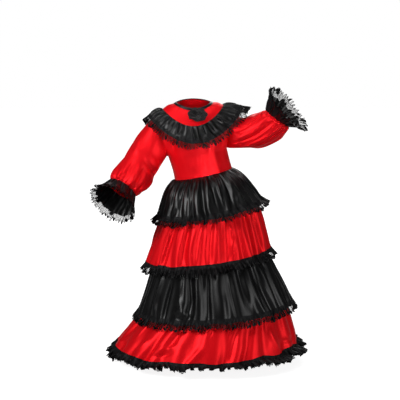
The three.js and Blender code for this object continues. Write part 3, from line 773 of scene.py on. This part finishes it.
for name, sleeve in SLEEVES.items():
    angles = turn_steps(SLEEVE_COLUMNS)
    hole = armhole(sleeve["side"], angles)
    eased = hole.mean(0) + (hole - hole.mean(0)) * 0.985 + np.array([sleeve["side"] * 2.0, 0, 0])
    stations = [seam_allowance(hole, sleeve["side"]), eased]
    stations += [section(*s, angles) for s in sleeve["sections"]]
    centres = np.array([s.mean(0) for s in stations])
    steps = np.linalg.norm(np.diff(centres, axis=0), axis=1)
    places = np.r_[0, np.cumsum(np.maximum(steps, SHORTEST_STEP))]
    tube = smooth(np.array(stations), np.linspace(0, 1, SLEEVE_ROWS), places / places[-1])
    field = fold_field(tube, True)
    wide, long = lengths(tube)
    height = np.zeros(tube.shape[:2])
    marked(height, field, (wide, long), SLEEVE_FOLDS[name])
    gather_creases(height, field, long, 34, 41, (0.10, 0.30), (4, 6.5), (1.5, 3.2), top=False, slant=18)
    gather_creases(height, field, long, 18, 42, (0.08, 0.16), (5, 8), (0.8, 1.6), slant=10)
    r = np.random.default_rng(43)
    for k in range(SLEEVE_DENTS):
        at = (r.uniform(0, wide), r.uniform(0.1, 0.8) * long)
        to = (at[0] + r.uniform(-60, 60), at[1] + r.uniform(-40, 60))
        crease(height, field, at, to, r.uniform(10, 16), r.uniform(-2, 2), r.uniform(-10, 10))
    down = np.linspace(0, 1, SLEEVE_ROWS)[:, None]
    hold = np.clip((down - 0.05) / 0.06, 0, 1) * np.clip((1 - down) / 0.07, 0.1, 1)
    tube = pushed(tube, True, height * hold)
    cloth(f"sleeve_{name}", tube, True, SATIN_THICK, RED_SATIN)

    angles = turn_steps(CUFF_COLUMNS)
    down = np.linspace(0, 1, CUFF_ROWS)
    flare = smooth(np.array([section(*s, angles) for s in sleeve["flounce"]]), down)
    field = fold_field(flare, True)
    long = lengths(flare)[1]
    height = (0.8 + 3.2 * down[:, None]) * np.cos(CUFF_WAVES * angles + 0.5 * np.sin(3 * angles))[None]
    gather_creases(height, field, long, 46, 51, (0.5, 1.2), (3, 5), (0.8, 2.0), slant=6)
    flare = pushed(flare, True, height)
    cloth(f"cuff_flounce_{name}", flare, True, SATIN_THICK, BLACK_SATIN)
    rim = section(*sleeve["rim"], angles)
    edge = ruffle(flare, rim, CUFF_PLEATS, CUFF_PLEATS * COLUMNS_TO_CUFF_PLEAT, 52, swing=6.0)
    cloth(f"cuff_lace_{name}", edge, True, NET_THICK, LACE_CUFF)

# ---- Skirt -----------------------------------------------------------------------------------
# Four gathered tiers of black and red satin in turn. Each is a front and a back strip, joined at
# the sides and gathered to the waist or to the tier above, and edged with gathered lace. The
# lowest is finished with a thick ruched frill.
TIER_COLUMNS = 760
TIER_ROWS = 27
TIER_SINK = 13
# folds are the depths of the main folds at the top and at the hem. between is the count and share
# of the lesser folds. gathers counts fine, crisp and middling creases from the top and low ones.
TIERS = [
    dict(rings=[ring(34.3, 0, -244, 100, 78, 11.4, 6), ring(38, 0, -257, 117, 97, 10.8, 6),
                ring(42, 0, -279, 136, 117, 10, 5), ring(51, 0, -322, 159, 140, 9.7, 4, 2, 2),
                ring(58.6, 0, -362, 178, 157, 9.3, 4, 4, 4)],
         rim=ring(59, 0, -383, 204, 181, 9.3, 4, 7, 7), black=True, flat=(0.60, 0.125),
         folds=(1.6, 9), rise=4, sway=0.06, between=(31, 0.7), gathers=(84, 40, 16, 8),
         marks=[((0.62, 0.25), (0.605, 1.05), 9, 4, 3), ((0.70, 0.2), (0.695, 1.05), 8, 4, 3),
                ((0.835, 0.2), (0.86, 0.95), 7, 4, -4)]),
    dict(rings=[ring(57, 0, -352, 158, 138, 9.3, 4), ring(55, 0, -399, 175, 154, 8.8, 3),
                ring(53, 0, -465, 197, 174, 7.8, 2), ring(51.5, 0, -532, 215, 190, 6.7, 2)],
         rim=ring(52, 0, -559, 235, 208, 6.7, 2), black=False, flat=(0.64, 0.19),
         folds=(4, 8), rise=4, sway=0.08, between=(15, 0.2), gathers=(24, 0, 8, 6),
         marks=[((0.600, 0.0), (0.590, 1.2), 6, -8, 4), ((0.625, -0.1), (0.616, 1.2), 9, -11, 3),
                ((0.679, -0.1), (0.672, 1.2), 9, -12, 3), ((0.715, 0.0), (0.710, 1.1), 5, -6, 2),
                ((0.752, -0.1), (0.747, 1.2), 10, -14, 3), ((0.788, -0.1), (0.794, 1.2), 11, -15, -3),
                ((0.820, 0.1), (0.820, 1.1), 12, 7, -3), ((0.865, -0.1), (0.880, 1.2), 11, -15, 4),
                ((0.905, 0.0), (0.920, 1.2), 7, -9, 4), ((0.770, 0.1), (0.770, 1.2), 9, 5, 0),
                ((0.840, 0.2), (0.850, 1.1), 10, 5, 3), ((0.700, 0.2), (0.690, 1.1), 8, 4, 2),
                ((0.825, 0.5), (0.790, 0.95), 7, 4, 3)]),
    dict(rings=[ring(54, 0, -521, 194, 170, 6.7, 2), ring(62, 0, -562, 208, 184, 6, 2),
                ring(71, 0, -638, 239, 211, 5.2, 1), ring(77, 0, -709, 266, 235, 4.3, 1)],
         rim=ring(73, 0, -738, 284, 250, 4.2, 1), black=True, flat=(0.82, 0.195),
         folds=(5, 10), rise=6, sway=0.10, between=(13, 0.2), gathers=(40, 8, 12, 10),
         marks=[((0.758, 0.05), (0.77, 1.1), 14, 6, 4), ((0.737, -0.1), (0.733, 1.2), 6, -7, 3),
                ((0.787, 0.1), (0.795, 1.2), 7, -6, 3), ((0.815, 0.0), (0.83, 1.0), 9, 6, -5),
                ((0.872, 0.0), (0.895, 1.0), 10, 6, -5), ((0.852, 0.0), (0.86, 1.2), 7, -7, 4),
                ((0.605, 0.1), (0.59, 1.1), 10, 6, 6), ((0.642, 0.1), (0.63, 1.2), 7, -7, 6),
                ((0.663, 0.5), (0.69, 1.0), 8, 6, 4), ((0.705, 0.45), (0.672, 1.0), 8, -6, -5),
                ((0.65, 0.78), (0.70, 0.84), 7, 5, 6), ((0.66, 0.93), (0.705, 0.9), 6, -5, 4)]),
    dict(rings=[ring(75, 0, -698, 242, 212, 4.3, 1), ring(71, 0, -727, 255, 224, 4, 1),
                ring(61, 0, -766, 279, 244, 3.2, 0), ring(52, 0, -808, 301, 261, 2.4, 0),
                ring(42.5, 0, -850, 318, 272, 1.6, 0, 2, 2)],
         rim=ring(46, 0, -878, 341, 287, 1.4, 0, -13, -13), black=False, flat=(0.98, 0.165),
         folds=(4, 10), rise=10, sway=0.07, between=(12, 0.2), gathers=(20, 0, 10, 12),
         marks=[((0.64, 0.84), (0.69, 0.72), 7, -5, 5), ((0.65, 0.68), (0.69, 0.56), 8, 5, 5),
                ((0.628, 0.45), (0.60, 1.0), 10, 7, 6), ((0.735, 0.55), (0.71, 1.1), 12, 8, -6),
                ((0.80, 0.2), (0.79, 1.1), 8, -7, 4), ((0.87, 0.3), (0.90, 1.0), 9, 7, 8),
                ((0.56, 0.4), (0.53, 1.0), 11, 7, 6), ((0.90, 0.72), (0.95, 0.82), 8, -6, 4)]),
]
LACE_PLEAT = dict(columns=11, swing=8.0, heading=8, tips=5)
FRILL_PLEAT = dict(columns=13, swing=15.0, heading=9, tips=9)
TRIMS = [
    dict(name="lace_1", flat=(1.75, 0.044), pleats=78, pleat=LACE_PLEAT, seed=55,
         material=lace("Upper skirt lace", 0.038)),
    dict(name="lace_2", flat=(2.0, 0.044), pleats=92, pleat=LACE_PLEAT, seed=56,
         material=lace("Middle skirt lace", 0.042)),
    dict(name="lace_3", flat=(2.4, 0.045), pleats=108, pleat=LACE_PLEAT, seed=57,
         material=lace("Lower skirt lace", 0.044)),
    dict(name="hem_frill", flat=(2.3, 0.045), pleats=76, pleat=FRILL_PLEAT, seed=55,
         material=lace("Hem frill lace", 0.040, heading=0.034, mesh_size=0.0016, scallop=0.009,
                       points=0.005)),
]
for number, (tier, trim) in enumerate(zip(TIERS, TRIMS), 1):
    angles = turn_steps(TIER_COLUMNS)
    skirt = ring_grid(tier["rings"], TIER_ROWS, angles)
    field = fold_field(skirt, True)
    wide, long = lengths(skirt)
    down = np.linspace(0, 1, TIER_ROWS)[:, None]
    main = fold_wave(swayed(angles, down, tier["sway"], number), 1.6, number)
    main = main * np.clip(0.8 + 0.35 * drift(angles, down, 10 + number, 3, 9), 0.2, 1.2)
    count, share = tier["between"]
    between = np.cos(count * swayed(angles, down, 1.5 * tier["sway"], 20 + number))
    between = between * np.clip(0.4 + 0.45 * drift(angles, down, 30 + number, 2, 8), 0, 1)
    small, large = tier["folds"]
    height = (small + (large - small) * down) * (main + share * between)
    fine, crisp, middling, low = tier["gathers"]
    broad = 1 + 0.16 * (number - 1)
    gather_creases(height, field, long, fine, 60 + number, (0.2, 0.7),
                   (3.0 * broad, 4.4 * broad), (1.2, 2.6), slant=6)
    gather_creases(height, field, long, crisp, 65 + number, (0.6, 1.3),
                   (3.4 * broad, 5.0 * broad), (1.8, 3.2), slant=16)
    gather_creases(height, field, long, middling, 70 + number, (0.6, 1.4),
                   (7 * broad, 11 * broad), (3, 5.5), slant=24)
    gather_creases(height, field, long, low, 80 + number, (0.25, 0.6),
                   (6 * broad, 10 * broad), (2, 4), top=False, slant=26)
    marked(height, field, (wide, long), tier["marks"])
    height = TIER_SINK * np.tanh(height / TIER_SINK)
    held = np.clip(down / 0.05, 0.2, 1) if number == 1 else np.clip(down / 0.24, 0.25, 1)
    skirt = pushed(skirt, True, height * held)
    rise = tier["rise"] * (0.5 + 0.5 * drift(angles, np.ones((1, 1)), 90 + number, 6, 20))
    skirt[..., 2] += rise * down ** 3
    around = np.concatenate([skirt, skirt[:, :1]], 1)
    half = TIER_COLUMNS // 2
    paint, slot = (BLACK_SATIN, "black_satin") if tier["black"] else (RED_SATIN, "red_satin")
    for face, strip in [("back", around[:, :half + 1]), ("front", around[:, half:])]:
        cloth(f"tier_{number}_{face}", strip, False, SATIN_THICK, paint)
    rim = on_ring(tier["rim"], np.cos(angles), np.sin(angles))
    rim[:, 2] += rise[0]
    pleat = trim["pleat"]
    edge = ruffle(skirt, rim, trim["pleats"], trim["pleats"] * pleat["columns"], trim["seed"],
                  pleat["swing"], heading=pleat["heading"], tips=pleat["tips"])
    cloth(trim["name"], edge, True, NET_THICK, trim["material"])

# ---- Studio ----------------------------------------------------------------------------------
# A plain pale floor and five soft lights: the key from the front left, a weaker one from the front
# right, a small one on the chest, one overhead and one behind.
FLOOR_SIZE = 14
FLOOR_SET_BACK = 3
FLOOR_LEVEL = -0.898
bpy.ops.mesh.primitive_plane_add(size=FLOOR_SIZE, location=(0, FLOOR_SET_BACK, FLOOR_LEVEL))
floor = bpy.context.object
floor.name = "floor"
pale = bpy.data.materials.new("Pale floor")
pale.use_nodes = True
t = pale.node_tree
matt = t.nodes["Principled BSDF"]
matt.inputs["Base Color"].default_value = (0.4, 0.4, 0.4, 1)
matt.inputs["Roughness"].default_value = 0.9
glow = node(t, "ShaderNodeEmission", {0: (1, 1, 1, 1)})
path = node(t, "ShaderNodeLightPath")
place = node(t, "ShaderNodeTexCoord").outputs["Object"]
far = node(t, "ShaderNodeVectorMath", {0: place, 1: (0, -FLOOR_SET_BACK, 0)}, operation="DISTANCE")
fade = node(t, "ShaderNodeMapRange", {"Value": far.outputs["Value"], "From Min": 0.5, "From Max": 1.6,
                                      "To Min": 0.88, "To Max": 1.1}).outputs[0]
t.links.new(calc(t, "MULTIPLY", path.outputs["Is Camera Ray"], fade), glow.inputs[1])
both = node(t, "ShaderNodeAddShader", {0: matt.outputs[0], 1: glow.outputs[0]})
t.links.new(both.outputs[0], t.nodes["Material Output"].inputs[0])
floor.data.materials.append(pale)

world = bpy.data.worlds.new("Studio")
bpy.context.scene.world = world
world.use_nodes = True
t = world.node_tree
seen = t.nodes["Background"]
seen.inputs[0].default_value = (1, 1, 1, 1)
seen.inputs[1].default_value = 1.0
lit = node(t, "ShaderNodeBackground", {0: (1, 1, 1, 1), 1: 0.07})
path = node(t, "ShaderNodeLightPath")
both = node(t, "ShaderNodeMixShader",
            {0: path.outputs["Is Camera Ray"], 1: lit.outputs[0], 2: seen.outputs[0]})
t.links.new(both.outputs[0], t.nodes["World Output"].inputs[0])


def soft_light(name, place, target, size, power, spread=180):
    light = bpy.data.lights.new(name, "AREA")
    light.size = size
    light.energy = power
    light.spread = math.radians(spread)
    obj = bpy.data.objects.new(name, light)
    obj.location = place
    aim = np.array(target, float) - np.array(place, float)
    obj.rotation_euler = Vector(aim).to_track_quat("-Z", "Y").to_euler()
    bpy.context.scene.collection.objects.link(obj)


MIDDLE = (0, 0, -0.4)
CHEST_CENTRE = (-0.03, 0, -0.11)
soft_light("key", (-2.4, -2.1, 1.5), MIDDLE, size=1.5, power=96)
soft_light("front", (2.6, -2.2, -0.1), MIDDLE, size=1.8, power=42)
soft_light("chest", (0.5, -3.0, 0.0), CHEST_CENTRE, size=0.4, power=0.28, spread=12)
soft_light("top", (0.0, -0.4, 2.2), MIDDLE, size=1.4, power=18)
soft_light("back", (0.8, 2.6, 1.2), MIDDLE, size=2.0, power=40)

ELEVATION = math.radians(9.5)
DISTANCE = 4.0
FRAME_WIDE = 1.384
aim = Vector((0.0225, 0, -0.336))
camera = bpy.data.cameras.new("camera")
camera.lens = camera.sensor_width * DISTANCE / FRAME_WIDE
eye = bpy.data.objects.new("camera", camera)
eye.location = aim + Vector((0, -math.cos(ELEVATION), math.sin(ELEVATION))) * DISTANCE
eye.rotation_euler = (aim - eye.location).to_track_quat("-Z", "Y").to_euler()
bpy.context.scene.collection.objects.link(eye)
bpy.context.scene.camera = eye
bpy.context.scene.view_settings.view_transform = "Standard"
